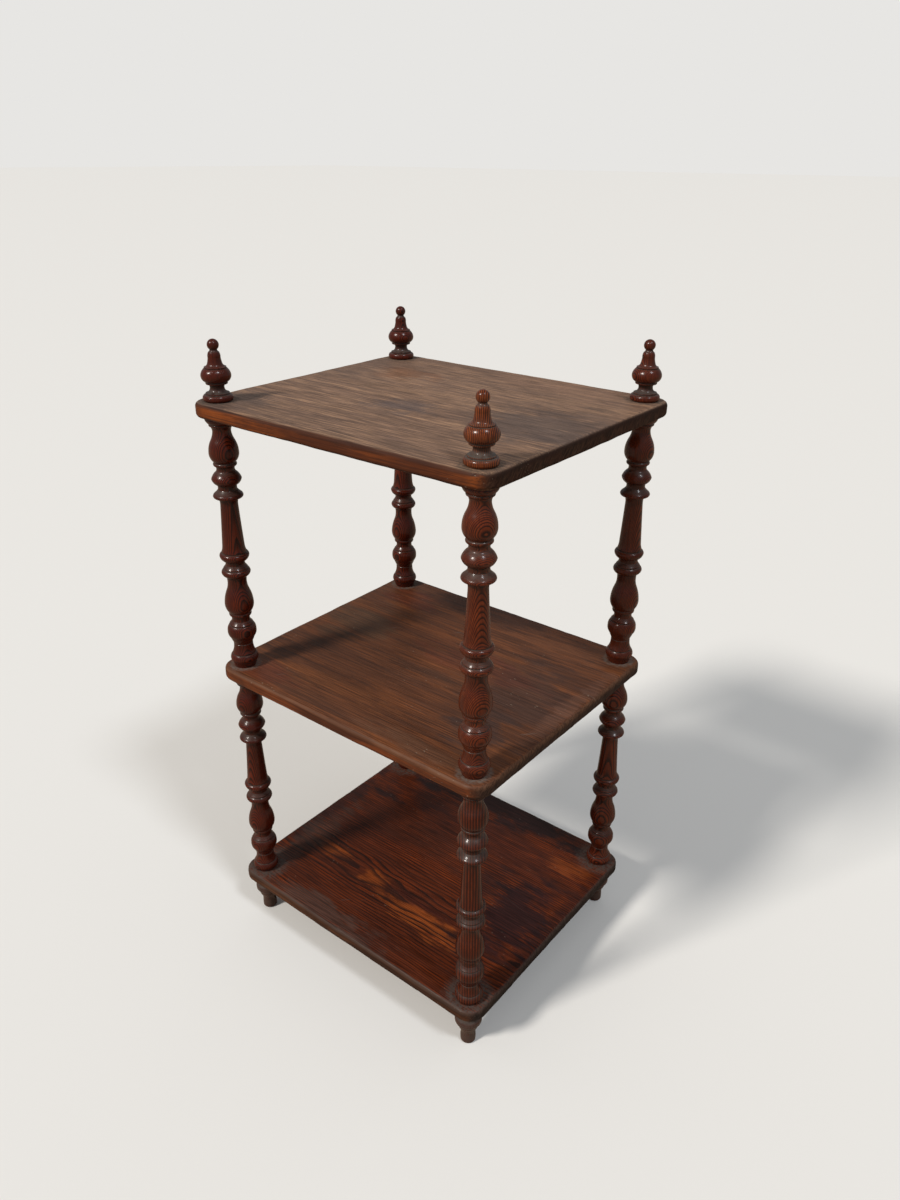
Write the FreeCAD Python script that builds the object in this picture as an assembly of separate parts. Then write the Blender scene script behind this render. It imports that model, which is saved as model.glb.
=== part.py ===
import FreeCAD, Part
import os

"""Three-tier whatnot: three rectangular boards carried at their corners by turned posts.

Millimetres, +Z up. The origin is on the floor, under the centre of the boards.
+X runs along the boards' length, which is also the run of their grain.

Each post is a stack of turned pieces. Every piece has a round pin under its seat,
which goes down through the hole in a board and into the socket of the piece below:
finial, top board, upper spindle, middle board, lower spindle, bottom board, foot.
"""

# Boards
BOARD_LENGTH = 452.0
BOARD_DEPTH = 390.0
BOARD_THICKNESS = 19.0
BOARD_CORNER_RADIUS = 25.0
BOARD_ARRIS_RADIUS = 5.5

# Post positions, measured in from the board's edges to the post's axis
POST_INSET_FROM_END = 28.0
POST_INSET_FROM_SIDE = 27.0

# Heights between the boards
FOOT_HEIGHT = 61.5
LOWER_BAY = 341.5
UPPER_BAY = 347.0

# Pins and sockets
PIN_RADIUS = 7.0
PIN_CLEARANCE = 0.15
PIN_END_GAP = 0.4
PIN_TIP_CHAMFER = 0.8
SOCKET_DEPTH = 22.0
FINIAL_SOCKET_DEPTH = 14.0
# How far a drill or a fused pin runs past the face that it starts from
OVERRUN = 1.0
# Heights closer than this count as the same level
SAME_LEVEL = 0.01

# How far the widest part of a spindle's base ring stands above its seat
UPPER_BASE_RING_HEIGHT = 12.5
LOWER_BASE_RING_HEIGHT = 7.0
BASE_RING_RADIUS = 18.8
# The plain foot under the base ring narrows by this much for each millimetre down
SEAT_TAPER = 0.3

# Turned outlines. Each point is (radius, distance, bulge), and the bulge is how far
# the curve to the next point swells out (+) or sinks in (-) from the straight line.

# Head of a spindle: distances go down from its shoulder under the board
SPINDLE_HEAD = [
    (17.2, 0.0, 0.5),       # collar under the board
    (19.2, 3.2, 0.5),
    (15.6, 8.6, 0.0),
    (14.7, 9.2, 0.4),       # fine bead below the collar
    (14.8, 11.6, -0.4),
    (12.4, 14.0, -0.4),     # neck
    (11.5, 19.5, -0.5),
    (14.6, 29.5, 0.9),      # upper vase
    (18.6, 44.4, 1.6),
    (13.7, 57.2, 0.0),
    (13.9, 58.2, 0.8),      # thin ring below the vase
    (14.0, 62.0, 0.0),
    (12.2, 63.0, -0.4),     # cove
    (11.4, 67.6, -0.3),
    (13.4, 70.8, 0.7),      # round bead
    (18.9, 79.2, 1.2),
    (12.6, 87.2, -0.6),     # cove
    (12.2, 93.2, -0.3),
    (16.9, 98.2, 0.4),      # disc with a hollow upper side
    (19.0, 101.4, 0.8),
    (16.4, 104.2, 0.0),
    (12.7, 105.0, -0.5),
    (11.2, 114.0, -0.1),    # top of the tapered shaft
]

# Lower part of a spindle: distances go up from the widest part of its base ring
SPINDLE_TAIL = [
    (14.3, 165.0, -0.3),    # foot of the tapered shaft
    (15.8, 157.2, 0.0),
    (15.8, 156.0, 0.0),
    (15.2, 155.5, 0.0),
    (16.4, 155.1, 0.7),     # first ring
    (19.2, 151.0, 1.3),
    (13.2, 143.2, -0.5),    # cove
    (12.8, 138.0, -0.2),
    (15.8, 133.7, 0.0),
    (15.9, 132.8, 0.0),
    (15.2, 132.3, 0.0),
    (16.4, 131.9, 0.6),     # second ring
    (18.9, 127.2, 1.2),
    (13.4, 121.2, -0.4),
    (12.6, 111.0, -0.5),    # neck of the lower vase
    (15.2, 100.4, 0.7),
    (19.1, 83.4, 1.5),
    (14.7, 69.0, 0.0),
    (14.5, 68.4, 0.5),      # thin ring below the vase
    (14.4, 64.4, 0.0),
    (12.6, 63.4, -0.5),     # cove
    (12.2, 56.4, -0.2),
    (15.7, 51.9, 0.0),
    (15.8, 51.0, 0.0),
    (15.1, 50.4, 0.0),
    (16.3, 50.0, 0.9),      # ball
    (19.2, 41.6, 1.1),
    (16.4, 31.8, 0.1),
    (13.2, 24.2, -0.1),
    (12.9, 22.6, 0.0),
    (12.5, 22.1, 0.0),      # incised line
    (12.9, 21.6, -0.1),
    (13.1, 16.4, -0.4),     # waist
    (15.4, 8.2, 0.0),
    (15.6, 7.2, 0.0),
    (15.0, 6.6, 0.0),
    (16.3, 6.2, 0.6),       # base ring
    (BASE_RING_RADIUS, 0.0, 0.5),
    (17.1, -4.4, 0.0),
]

# Finial: distances go up from its seat on the top board
FINIAL_TURNING = [
    (0.0, 73.0, 2.05),      # ball
    (7.0, 66.0, 0.65),
    (4.4, 60.7, -0.4),      # steeple
    (6.4, 57.8, 0.5),
    (7.6, 51.6, -0.2),
    (8.9, 44.8, -0.9),
    (13.2, 40.6, 0.0),
    (13.3, 39.8, 0.0),
    (12.7, 39.2, 0.0),
    (13.8, 38.9, 0.7),      # bulb
    (18.0, 31.6, 1.5),
    (13.7, 23.0, 0.0),
    (13.0, 22.6, 0.3),      # collar
    (12.9, 20.4, 0.0),
    (9.6, 19.4, -0.6),      # neck
    (9.0, 14.2, -1.0),
    (14.2, 9.9, 0.0),
    (14.5, 9.0, 0.0),
    (14.0, 8.4, 0.0),
    (15.6, 8.0, 0.8),       # base ring
    (18.2, 4.0, 1.0),
    (15.6, 0.0, 0.0),
]

# Top of a foot: distances go down from its shoulder under the bottom board
FOOT_HEAD = [
    (16.4, 0.0, 0.4),
    (16.6, 5.0, -0.6),
    (14.2, 8.8, -0.6),
    (15.6, 13.4, 0.0),
    (16.6, 13.9, 0.9),      # ring
    (18.2, 20.4, 1.0),
    (15.9, 26.0, 0.0),
    (15.1, 26.6, 0.0),
    (14.9, 27.6, 0.5),
]
# Peg of a foot: distances go up from the floor
FOOT_PEG = [
    (11.6, 24.0, -0.5),
    (9.9, 15.0, 0.3),
    (10.2, 4.0, 0.8),
    (7.8, 0.0, 0.0),
]

# Levels worked out from the sizes above
BOTTOM_BOARD_BASE = FOOT_HEIGHT
BOTTOM_BOARD_TOP = BOTTOM_BOARD_BASE + BOARD_THICKNESS
MIDDLE_BOARD_BASE = BOTTOM_BOARD_TOP + LOWER_BAY
MIDDLE_BOARD_TOP = MIDDLE_BOARD_BASE + BOARD_THICKNESS
TOP_BOARD_BASE = MIDDLE_BOARD_TOP + UPPER_BAY
TOP_BOARD_TOP = TOP_BOARD_BASE + BOARD_THICKNESS

HALF_LENGTH = BOARD_LENGTH / 2
HALF_DEPTH = BOARD_DEPTH / 2
POST_X = HALF_LENGTH - POST_INSET_FROM_END
POST_Y = HALF_DEPTH - POST_INSET_FROM_SIDE
POSTS = {
    "front_left": (-POST_X, -POST_Y),
    "front_right": (POST_X, -POST_Y),
    "back_right": (POST_X, POST_Y),
    "back_left": (-POST_X, POST_Y),
}
SOCKET_RADIUS = PIN_RADIUS + PIN_CLEARANCE
UP = FreeCAD.Vector(0, 0, 1)
ORIGIN = FreeCAD.Vector(0, 0, 0)


def edge_between(start, end, bulge):
    """Edge of an outline in the XZ plane: straight, or an arc that swells by the bulge."""
    first = FreeCAD.Vector(start[0], 0, start[1])
    last = FreeCAD.Vector(end[0], 0, end[1])
    if bulge == 0.0:
        return Part.makeLine(first, last)
    run = last - first
    outward = FreeCAD.Vector(-run.z, 0, run.x).normalize()
    middle = (first + last) * 0.5 + outward * bulge
    return Part.Arc(first, middle, last).toShape()


def turned(outline):
    """Solid turned about Z from an outline of (radius, height, bulge), top to bottom."""
    edges = []
    for start, end in zip(outline, outline[1:]):
        edges.append(edge_between(start, end, start[2]))
    top = (0.0, outline[0][1])
    bottom = (0.0, outline[-1][1])
    if outline[0][0] > 0:
        edges.insert(0, edge_between(top, outline[0], 0.0))
    edges.append(edge_between(outline[-1], bottom, 0.0))
    edges.append(edge_between(bottom, top, 0.0))
    face = Part.Face(Part.Wire(edges))
    return face.revolve(ORIGIN, UP, 360)


def add_pin(piece, socket_depth):
    """Put the pin under a piece whose seat is at height 0, for a socket of that depth."""
    length = BOARD_THICKNESS + socket_depth - PIN_END_GAP
    pin = Part.makeCylinder(PIN_RADIUS, length + OVERRUN, FreeCAD.Vector(0, 0, -length))
    tip = []
    for edge in pin.Edges:
        highest_point = edge.BoundBox.ZMax
        if highest_point + length < SAME_LEVEL:
            tip.append(edge)
    pin = pin.makeChamfer(PIN_TIP_CHAMFER, tip)
    return piece.fuse(pin).removeSplitter()


def cut_socket(piece, shoulder, depth):
    """Drill the blind socket down from a piece's shoulder."""
    blind_end = FreeCAD.Vector(0, 0, shoulder - depth)
    return piece.cut(Part.makeCylinder(SOCKET_RADIUS, depth + OVERRUN, blind_end))


def make_spindle(length, base_ring_height, socket_depth):
    """Spindle with its seat at height 0: head from the top, tail from the base ring."""
    outline = []
    for radius, down, bulge in SPINDLE_HEAD:
        outline.append((radius, length - down, bulge))
    for radius, up, bulge in SPINDLE_TAIL:
        outline.append((radius, base_ring_height + up, bulge))
    taper_start = outline[-1]
    seat_radius = taper_start[0] - SEAT_TAPER * taper_start[1]
    outline.append((seat_radius, 0.0, 0.0))
    spindle = cut_socket(turned(outline), length, socket_depth)
    return add_pin(spindle, SOCKET_DEPTH)


def make_finial():
    """Finial with its seat at height 0."""
    return add_pin(turned(FINIAL_TURNING), FINIAL_SOCKET_DEPTH)


def make_foot():
    """Foot that stands on the floor, with its socket open at the top."""
    outline = []
    for radius, down, bulge in FOOT_HEAD:
        outline.append((radius, FOOT_HEIGHT - down, bulge))
    outline.extend(FOOT_PEG)
    return cut_socket(turned(outline), FOOT_HEIGHT, SOCKET_DEPTH)


def rounded_rectangle(half_length, half_depth, radius):
    """Closed wire of a rectangle with round corners, centred on the origin."""
    edges = []
    corners = [(1, 1), (-1, 1), (-1, -1), (1, -1)]
    for index, (side_x, side_y) in enumerate(corners):
        centre = FreeCAD.Vector(side_x * (half_length - radius), side_y * (half_depth - radius), 0)
        start = 90.0 * index
        edges.append(Part.makeCircle(radius, centre, UP, start, start + 90.0))
    straights = []
    for arc, following in zip(edges, edges[1:] + edges[:1]):
        straights.append(Part.makeLine(arc.Vertexes[-1].Point, following.Vertexes[0].Point))
    ordered = []
    for arc, straight in zip(edges, straights):
        ordered.extend([arc, straight])
    return Part.Wire(ordered)


def make_board(base):
    """Board with rounded corners, softened arrises and a hole for the pin of each post."""
    outline = rounded_rectangle(HALF_LENGTH, HALF_DEPTH, BOARD_CORNER_RADIUS)
    board = Part.Face(outline).extrude(UP * BOARD_THICKNESS)
    arrises = []
    for edge in board.Edges:
        if edge.BoundBox.ZLength < SAME_LEVEL:
            arrises.append(edge)
    board = board.makeFillet(BOARD_ARRIS_RADIUS, arrises)
    for x, y in POSTS.values():
        start = FreeCAD.Vector(x, y, -OVERRUN)
        hole = Part.makeCylinder(SOCKET_RADIUS, BOARD_THICKNESS + 2 * OVERRUN, start)
        board = board.cut(hole)
    return board.translated(FreeCAD.Vector(0, 0, base))


def write(shape, name):
    """Write one node as a STEP file and report it."""
    solid = shape.Solids[0]
    solid.exportStep("parts/" + name + ".step")
    print(name, "solids", len(shape.Solids), "valid", solid.isValid())


def main():
    """Build every board, spindle, finial and foot, and write each as its own node."""
    os.makedirs("parts", exist_ok=True)
    write(make_board(BOTTOM_BOARD_BASE), "bottom_board")
    write(make_board(MIDDLE_BOARD_BASE), "middle_board")
    write(make_board(TOP_BOARD_BASE), "top_board")

    foot = make_foot()
    lower_spindle = make_spindle(LOWER_BAY, LOWER_BASE_RING_HEIGHT, SOCKET_DEPTH)
    upper_spindle = make_spindle(UPPER_BAY, UPPER_BASE_RING_HEIGHT, FINIAL_SOCKET_DEPTH)
    finial = make_finial()
    stack = [
        ("foot", foot, 0.0),
        ("lower_spindle", lower_spindle, BOTTOM_BOARD_TOP),
        ("upper_spindle", upper_spindle, MIDDLE_BOARD_TOP),
        ("finial", finial, TOP_BOARD_TOP),
    ]
    for corner, (x, y) in POSTS.items():
        for name, shape, seat in stack:
            write(shape.translated(FreeCAD.Vector(x, y, seat)), name + "_" + corner)


main()
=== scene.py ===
"""Looks of a three-tier whatnot of stained pine: worn boards on glossy turned posts."""

import logging
import math
from collections.abc import Callable
from dataclasses import dataclass, field
from enum import Enum

import bpy
from mathutils import Matrix, Vector

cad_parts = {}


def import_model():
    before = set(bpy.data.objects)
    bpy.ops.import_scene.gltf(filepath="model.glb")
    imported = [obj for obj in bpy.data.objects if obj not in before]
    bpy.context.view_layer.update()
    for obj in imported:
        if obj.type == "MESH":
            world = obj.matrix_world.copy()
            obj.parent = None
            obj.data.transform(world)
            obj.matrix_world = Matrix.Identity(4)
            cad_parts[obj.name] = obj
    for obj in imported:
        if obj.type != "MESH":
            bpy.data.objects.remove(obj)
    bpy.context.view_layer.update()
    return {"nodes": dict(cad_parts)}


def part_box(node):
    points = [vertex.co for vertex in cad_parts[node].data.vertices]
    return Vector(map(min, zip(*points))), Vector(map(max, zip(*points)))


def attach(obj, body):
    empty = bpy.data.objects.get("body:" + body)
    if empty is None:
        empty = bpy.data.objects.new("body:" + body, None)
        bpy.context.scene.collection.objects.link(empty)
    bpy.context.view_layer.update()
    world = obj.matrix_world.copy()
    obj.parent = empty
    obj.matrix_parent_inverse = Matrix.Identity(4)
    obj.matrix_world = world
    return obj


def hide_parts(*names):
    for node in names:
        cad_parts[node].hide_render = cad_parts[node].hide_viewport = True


LOG = logging.getLogger("whatnot")
ROOT_BODY = "root"
# Factor that drops the height of a point
FLAT = (1.0, 1.0, 0.0)

Colour = tuple[float, float, float]
Point = tuple[float, float, float]
Node = bpy.types.Node
Outputs = bpy.types.bpy_prop_collection
Socket = bpy.types.NodeSocket
Tree = bpy.types.NodeTree
Value = Socket | float | int


class Corner(Enum):
    """Corners of the boards, as (name, side along X, side along Y)."""

    FRONT_LEFT = ("front_left", -1, -1)
    FRONT_RIGHT = ("front_right", 1, -1)
    BACK_RIGHT = ("back_right", 1, 1)
    BACK_LEFT = ("back_left", -1, 1)

    @property
    def label(self) -> str:
        """Name that ends each turned piece's own name."""
        return self.value[0]

    def at(self, x: float, y: float) -> tuple[float, float]:
        """Move a point of the back right corner to this one."""
        return self.value[1] * x, self.value[2] * y


class Turning(Enum):
    """Kinds of turned piece in a post, named as their solids are."""

    FOOT = "foot"
    LOWER_SPINDLE = "lower_spindle"
    UPPER_SPINDLE = "upper_spindle"
    FINIAL = "finial"


# --- Node building ---


class NodeBench:
    """Short ways to add shader nodes to one tree and join them."""

    def __init__(self, tree: Tree) -> None:
        """Take the tree of the material or node group that the nodes go into."""
        self.tree = tree

    def node(self, kind: str, *given: object, **settings: object) -> Node:
        """Add a node.

        Args:
            kind: the node's type name.
            *given: what its first inputs get, in their order.
            **settings: properties of the node.

        Returns:
            The new node.
        """
        made = self.tree.nodes.new(kind)
        for key, value in settings.items():
            setattr(made, key, value)
        for socket, value in zip(made.inputs, given):
            self.feed(socket, value)
        return made

    def feed(self, socket: Socket, value: object) -> None:
        """Join a socket to an output, or set its plain value.

        Args:
            socket: the input to fill.
            value: another node's output, a number, or a colour or vector of numbers.
        """
        if isinstance(value, Socket):
            self.tree.links.new(value, socket)
        elif socket.type == "RGBA" and len(value) == 3:
            socket.default_value = (*value, 1.0)
        else:
            socket.default_value = value

    def fill(self, node: Node, **inputs: object) -> None:
        """Fill a node's inputs by name, with underscores for spaces."""
        for key, value in inputs.items():
            self.feed(node.inputs[key.replace("_", " ")], value)

    def math(self, operation: str, first: Value, second: Value = 0.0) -> Socket:
        """Work out a number from one or two others."""
        return self.node("ShaderNodeMath", first, second, operation=operation).outputs[0]

    def times(self, first: Value, second: Value) -> Socket:
        """Multiply two numbers."""
        return self.math("MULTIPLY", first, second)

    def plus(self, first: Value, second: Value) -> Socket:
        """Add two numbers."""
        return self.math("ADD", first, second)

    def minus(self, first: Value, second: Value) -> Socket:
        """Take the second number from the first."""
        return self.math("SUBTRACT", first, second)

    def total(self, start: Value, *parts: tuple[Socket, float]) -> Socket:
        """Add weighted masks to a number.

        Args:
            start: the number to start from.
            *parts: each mask with its weight.

        Returns:
            The sum.
        """
        for mask, weight in parts:
            start = self.plus(start, self.times(mask, weight))
        return start

    def vector(self, operation: str, first: object, second: object = (0.0, 0.0, 0.0)) -> Socket:
        """Work out a vector, or a number for LENGTH, from one or two vectors."""
        made = self.node("ShaderNodeVectorMath", first, second, operation=operation)
        return made.outputs["Value" if operation == "LENGTH" else "Vector"]

    def split(self, vector: Socket) -> Outputs:
        """Split a vector into its X, Y and Z."""
        return self.node("ShaderNodeSeparateXYZ", vector).outputs

    def joined(self, x: Value, y: Value, z: Value = 0.0) -> Socket:
        """Join three numbers to a vector."""
        return self.node("ShaderNodeCombineXYZ", x, y, z).outputs[0]

    def mapped(
        self, where: Socket, turn: object, shift: object = (0.0, 0.0, 0.0), scale: object = (1.0, 1.0, 1.0)
    ) -> Socket:
        """Scale coordinates, turn them about X, Y and Z, and then shift them."""
        return self.node("ShaderNodeMapping", where, shift, turn, scale).outputs[0]

    def step(self, value: Socket, low: Value, high: Value, start: float = 0.0, end: float = 1.0) -> Socket:
        """Go smoothly from start to end as a value goes from low to high."""
        given = (value, low, high, start, end)
        return self.node("ShaderNodeMapRange", *given, interpolation_type="SMOOTHSTEP").outputs["Result"]

    def noise(
        self, where: object, scale: Value, detail: float = 3.0, rough: float = 0.55, twist: float = 0.0
    ) -> Socket:
        """Add a noise texture.

        Args:
            where: coordinates.
            scale: cells for each metre.
            detail: octaves.
            rough: strength of the finer octaves.
            twist: distortion.

        Returns:
            The noise, about 0 to 1.
        """
        made = self.node("ShaderNodeTexNoise")
        self.fill(made, Vector=where, Scale=scale, Detail=detail, Roughness=rough, Distortion=twist)
        return made.outputs["Fac"]

    def mix(self, share: Value, first: object, second: object, blend: str = "MIX") -> Socket:
        """Mix two colours.

        Args:
            share: how much of the second there is.
            first: the colour at 0.
            second: the colour at 1, or a number as a grey.
            blend: way of mixing.

        Returns:
            The mixed colour.
        """
        made = self.node("ShaderNodeMix", share, data_type="RGBA", blend_type=blend, clamp_factor=True)
        self.feed(made.inputs[6], first)
        self.feed(made.inputs[7], second)
        return made.outputs[2]

    def lay(self, colour: object, *coats: tuple[Value, Value, Colour]) -> Socket:
        """Lay coats of stain over a colour, one after the other.

        Args:
            colour: the colour below.
            *coats: each coat's mask, share and colour.

        Returns:
            The mixed colour.
        """
        for mask, share, stain in coats:
            colour = self.mix(self.times(mask, share), colour, stain)
        return colour

    def emboss(self, shader: Node, relief: Socket, depth: float) -> None:
        """Give a shader a fine relief.

        Args:
            shader: the material's shader.
            relief: its height, about 0 to 1.
            depth: how high a relief of 1 stands, in metres.
        """
        bump = self.node("ShaderNodeBump")
        self.fill(bump, Distance=depth, Strength=0.8, Height=relief)
        self.fill(shader, Normal=bump.outputs[0])

    def group(self, tree: Tree, **inputs: object) -> Outputs:
        """Place a node group.

        Args:
            tree: the group.
            **inputs: values by input name, with underscores for spaces.

        Returns:
            The group's outputs by name.
        """
        made = self.node("ShaderNodeGroup", node_tree=tree)
        self.fill(made, **inputs)
        return made.outputs


class EffectGroup:
    """A shader node group under construction, which takes vectors and numbers and puts out masks."""

    def __init__(self, name: str, inputs: dict[str, float | None], outputs: tuple[str, ...]) -> None:
        """Make the empty group.

        Args:
            name: the group's name.
            inputs: default value by input name; None stands for a vector.
            outputs: names of the masks.
        """
        self.tree = bpy.data.node_groups.new(name, "ShaderNodeTree")
        for key, default in inputs.items():
            kind = "NodeSocketVector" if default is None else "NodeSocketFloat"
            socket = self.tree.interface.new_socket(key, in_out="INPUT", socket_type=kind)
            if default is not None:
                socket.default_value = default
        for key in outputs:
            self.tree.interface.new_socket(key, in_out="OUTPUT", socket_type="NodeSocketFloat")
        self.bench = NodeBench(self.tree)
        self.given = self.bench.node("NodeGroupInput").outputs
        self.result = self.bench.node("NodeGroupOutput")


def growth_rings() -> Tree:
    """Rings of a pine log whose heart runs along the local Z axis.

    Returns:
        The group. Late is the dark late wood, Year a random number for each ring.
    """
    inputs = {"Vector": None, "Spacing": 0.002, "Wander": 0.004, "Sharpness": 0.4}
    effect = EffectGroup("growth_rings", inputs, ("Late", "Year"))
    bench, given = effect.bench, effect.given
    drawn_out = bench.vector("MULTIPLY", given["Vector"], (1.0, 1.0, 0.35))
    slow = bench.noise(drawn_out, scale=20.0, detail=2.0, rough=0.5)
    quick = bench.noise(drawn_out, scale=110.0, detail=2.0, rough=0.5)
    shift = bench.times(bench.minus(slow, 0.5), given["Wander"])
    shake = bench.times(bench.minus(quick, 0.5), bench.times(given["Wander"], 0.12))
    from_heart = bench.vector("LENGTH", bench.vector("MULTIPLY", given["Vector"], FLAT))
    years = bench.math("DIVIDE", bench.plus(from_heart, bench.plus(shift, shake)), given["Spacing"])
    season = bench.math("FRACT", years)
    rise = bench.step(season, given["Sharpness"], 0.86)
    fall = bench.step(season, 0.93, 1.0, 1.0, 0.0)
    lottery = bench.node("ShaderNodeTexWhiteNoise", noise_dimensions="1D")
    bench.fill(lottery, W=bench.math("FLOOR", years))
    bench.fill(effect.result, Late=bench.times(rise, fall), Year=lottery.outputs["Value"])
    return effect.tree


def wood_fibre() -> Tree:
    """Bands, streaks, fine fibres and short dark pores that run along the local Z axis.

    Returns:
        The group. Band is broad, Streak narrow and Fibre fine, each 0 to 1; Pore is 1 in a pore.
    """
    # Name, size along the grain, cells for each metre, octaves, start and end of the step
    layers = (
        ("Band", 0.1, 42.0, 3.0, 0.36, 0.64),
        ("Streak", 0.06, 300.0, 2.0, 0.42, 0.62),
        ("Fibre", 0.035, 800.0, 3.0, 0.36, 0.64),
        ("Pore", 0.05, 520.0, 2.0, 0.6, 0.7),
    )
    names = tuple(layer[0] for layer in layers)
    effect = EffectGroup("wood_fibre", {"Vector": None, "Fineness": 1.0}, names)
    bench, given = effect.bench, effect.given
    for name, along, scale, detail, low, high in layers:
        drawn_out = bench.vector("MULTIPLY", given["Vector"], (1.0, 1.0, along))
        pattern = bench.noise(drawn_out, bench.times(given["Fineness"], scale), detail, rough=0.6)
        bench.fill(effect.result, **{name: bench.step(pattern, low, high)})
    return effect.tree


def old_patches() -> Tree:
    """Uneven stain, dark spots, pale flecks and short scratches of an old surface.

    Returns:
        The group. Patch and Spot are 0 to 1, Fleck and Scratch are 1 on a mark.
    """
    names = ("Patch", "Spot", "Fleck", "Scratch")
    effect = EffectGroup("old_patches", {"Vector": None, "Size": 9.0}, names)
    bench, where, size = effect.bench, effect.given["Vector"], effect.given["Size"]
    patch = bench.noise(where, size, detail=5.0, rough=0.6, twist=0.4)
    spot = bench.noise(where, bench.times(size, 22.0), detail=2.0, rough=0.5)
    fleck = bench.noise(where, bench.times(size, 34.0), detail=1.0, rough=0.5)
    cluster = bench.step(bench.noise(where, bench.times(size, 1.6), detail=1.0), 0.5, 0.62)
    scratches = []
    for turn, seed in ((0.35, 3.1), (-0.9, 7.7)):
        turned = bench.mapped(where, (turn, turn * 0.7, turn), (seed, -seed, seed))
        stretched = bench.vector("MULTIPLY", turned, (1.0, 0.04, 0.04))
        thin = bench.step(bench.noise(stretched, scale=420.0, detail=1.0, rough=0.5), 0.745, 0.775)
        sparse = bench.step(bench.noise(turned, scale=26.0, detail=1.0, rough=0.5), 0.56, 0.62)
        scratches.append(bench.times(thin, sparse))
    bench.fill(
        effect.result,
        Patch=bench.step(patch, 0.38, 0.66),
        Spot=bench.step(spot, 0.68, 0.76),
        Fleck=bench.times(bench.step(fleck, 0.745, 0.775), cluster),
        Scratch=bench.math("MAXIMUM", *scratches),
    )
    return effect.tree


def board_edges() -> Tree:
    """Bands along a board's outline and round the foot of each post.

    Returns:
        The group. Rim is 1 at the outline, Post is 1 in a narrow ring round each post.
    """
    any_height = 9.0
    inputs = {"Vector": None, "Half Length": 0.2, "Half Depth": 0.2, "Corner": 0.02, "Band": 0.01}
    inputs |= {"Post X": 0.2, "Post Y": 0.2, "Seat": 0.015, "Spread": 0.006}
    effect = EffectGroup("board_edges", inputs, ("Rim", "Post"))
    bench, given = effect.bench, effect.given
    where, band, spread = given["Vector"], given["Band"], given["Spread"]
    folded = bench.vector("ABSOLUTE", where)
    halves = (bench.minus(given[name], given["Corner"]) for name in ("Half Length", "Half Depth"))
    past = bench.vector("SUBTRACT", folded, bench.joined(*halves, any_height))
    inward = bench.minus(given["Corner"], bench.vector("LENGTH", bench.vector("MAXIMUM", past)))
    ragged = bench.times(bench.noise(where, scale=70.0, detail=3.0, rough=0.6), band)
    rim = bench.step(bench.plus(inward, ragged), 0.0, band, 1.0, 0.0)
    level = bench.vector("MULTIPLY", folded, FLAT)
    axis = bench.joined(given["Post X"], given["Post Y"])
    away = bench.vector("LENGTH", bench.vector("SUBTRACT", level, axis))
    smudge = bench.times(bench.noise(where, scale=160.0, detail=3.0, rough=0.6), spread)
    past_seat = bench.minus(bench.minus(away, given["Seat"]), smudge)
    ring = bench.step(past_seat, 0.0, spread, 1.0, 0.0)
    crumbs = bench.noise(where, scale=240.0, detail=3.0, rough=0.65)
    ring_dust_and_shade = bench.times(ring, bench.step(crumbs, 0.36, 0.6, 0.25, 1.0))
    bench.fill(effect.result, Rim=rim, Post=ring_dust_and_shade)
    return effect.tree


def single_blotch() -> Tree:
    """One ragged patch at a chosen place on a board.

    Returns:
        The group. Mask is 1 inside the patch and fades at its ragged border.
    """
    effect = EffectGroup("single_blotch", dict.fromkeys(("Vector", "Centre", "Reach")), ("Mask",))
    bench, given = effect.bench, effect.given
    level = bench.vector("MULTIPLY", given["Vector"], FLAT)
    away = bench.vector("DIVIDE", bench.vector("SUBTRACT", level, given["Centre"]), given["Reach"])
    drawn_out = bench.vector("MULTIPLY", given["Vector"], (0.35, 1.0, 1.0))
    ragged = bench.minus(bench.noise(drawn_out, scale=55.0, detail=5.0, rough=0.68), 0.5)
    reach = bench.total(bench.vector("LENGTH", away), (ragged, 3.0))
    bench.fill(effect.result, Mask=bench.step(reach, 0.4, 1.1, 1.0, 0.0))
    return effect.tree


@dataclass
class Effects:
    """The node groups that the finishes share, each built once."""

    rings: Tree = field(default_factory=growth_rings)
    fibre: Tree = field(default_factory=wood_fibre)
    patches: Tree = field(default_factory=old_patches)
    edges: Tree = field(default_factory=board_edges)
    blotch: Tree = field(default_factory=single_blotch)


# --- Finishes ---


@dataclass(frozen=True)
class Timber:
    """The wood of one material: its nodes, coordinates and placed effects."""

    bench: NodeBench
    place: Socket
    rings: Outputs
    fibre: Outputs
    patches: Outputs


def new_material(name: str) -> tuple[bpy.types.Material, NodeBench, Node]:
    """Start a material.

    Args:
        name: the material's name.

    Returns:
        The material, the bench for its nodes, and its shader.
    """
    material = bpy.data.materials.new(name)
    material.use_nodes = True
    tree = material.node_tree
    return material, NodeBench(tree), tree.nodes["Principled BSDF"]


def shaded(colour: Colour, share: float) -> Colour:
    """Multiply a colour by a number."""
    return tuple(share * part for part in colour)


@dataclass(frozen=True)
class BoardShape:
    """Outline and post positions of a board, in metres."""

    half_length: float
    half_depth: float
    base: float
    top: float
    post_x: float
    post_y: float
    seat_radius: float = 0.0155
    corner_radius: float = 0.025
    arris_radius: float = 0.0055
    hole_radius: float = 0.00715


@dataclass(frozen=True)
class Blotch:
    """A stain or rubbed patch at one place on a board, drawn out along the grain."""

    x: float
    y: float
    reach_x: float
    reach_y: float
    colour: Colour
    share: float
    under_lines: bool = False


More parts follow.
